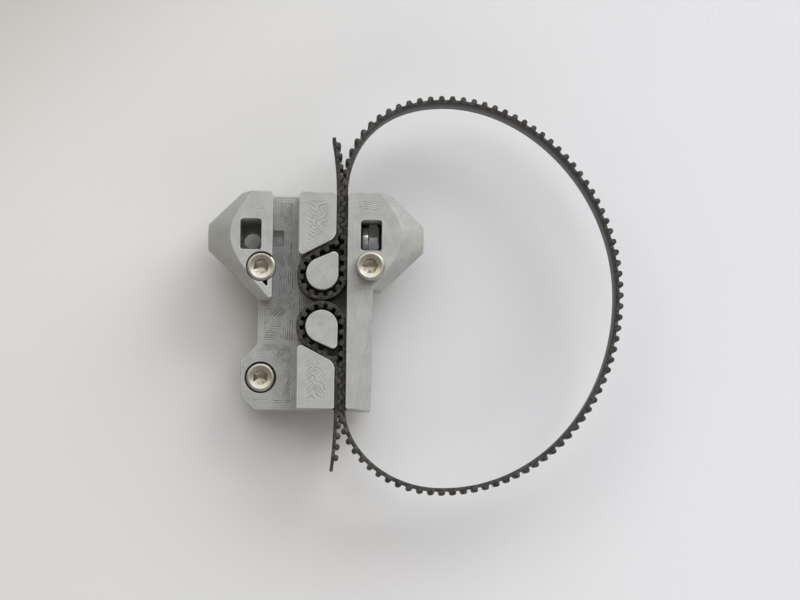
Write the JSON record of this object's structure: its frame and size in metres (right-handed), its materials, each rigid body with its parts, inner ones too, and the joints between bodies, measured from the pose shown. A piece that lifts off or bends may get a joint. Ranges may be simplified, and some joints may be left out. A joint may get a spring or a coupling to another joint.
{
  "type": "timing belt on a clamp carriage",
  "caption": "Toothed belt closed into one free loop by teardrop anchors on a printed carriage with two cone horns.",
  "frame": {"origin": "centre of the square screw pattern, on the flat back face that bolts to a slider", "axes": "+X to the right across the horns, +Y up the belt run, +Z out of the back face towards the screw heads"},
  "size_m": [0.077, 0.0741, 0.019],
  "materials": {
    "printed_plastic": "layered, slightly satin print",
    "belt_rubber": "matte moulded rubber",
    "glass_cord": "twisted glass fibre",
    "screw_steel": "bright stainless, slightly worn",
    "nut_insert": "smooth nylon"
  },
  "bodies": {
    "carriage": {"carriage_body": "printed_plastic"},
    "belt": {"belt_backing": "belt_rubber", "belt_cords": "glass_cord", "belt_teeth": "belt_rubber"},
    "upper_left_screw": {"screw_upper_left": "screw_steel"},
    "upper_right_screw": {"screw_upper_right": "screw_steel"},
    "lower_left_screw": {"screw_lower_left": "screw_steel"},
    "lock_nut": {"lock_nut_body": "screw_steel", "lock_nut_insert": "nut_insert"}
  },
  "joints": [
    {"name": "belt_lift", "type": "slide", "parent": "carriage", "child": "belt", "axis": [0, 0, 1], "range_m": [0, 0.0075]},
    {"name": "upper_left_screw_turn", "type": "hinge", "parent": "carriage", "child": "upper_left_screw", "pos_m": [-0.01, 0.01, 0.0096], "axis": [0, 0, 1], "continuous": true},
    {"name": "upper_right_screw_turn", "type": "hinge", "parent": "carriage", "child": "upper_right_screw", "pos_m": [0.01, 0.01, 0.013], "axis": [0, 0, 1], "continuous": true},
    {"name": "lower_left_screw_turn", "type": "hinge", "parent": "carriage", "child": "lower_left_screw", "pos_m": [-0.01, -0.01, 0.003], "axis": [0, 0, 1], "continuous": true},
    {"name": "lock_nut_lift", "type": "slide", "parent": "carriage", "child": "lock_nut", "axis": [0, 0, 1], "range_m": [0, 0.01]}
  ]
}
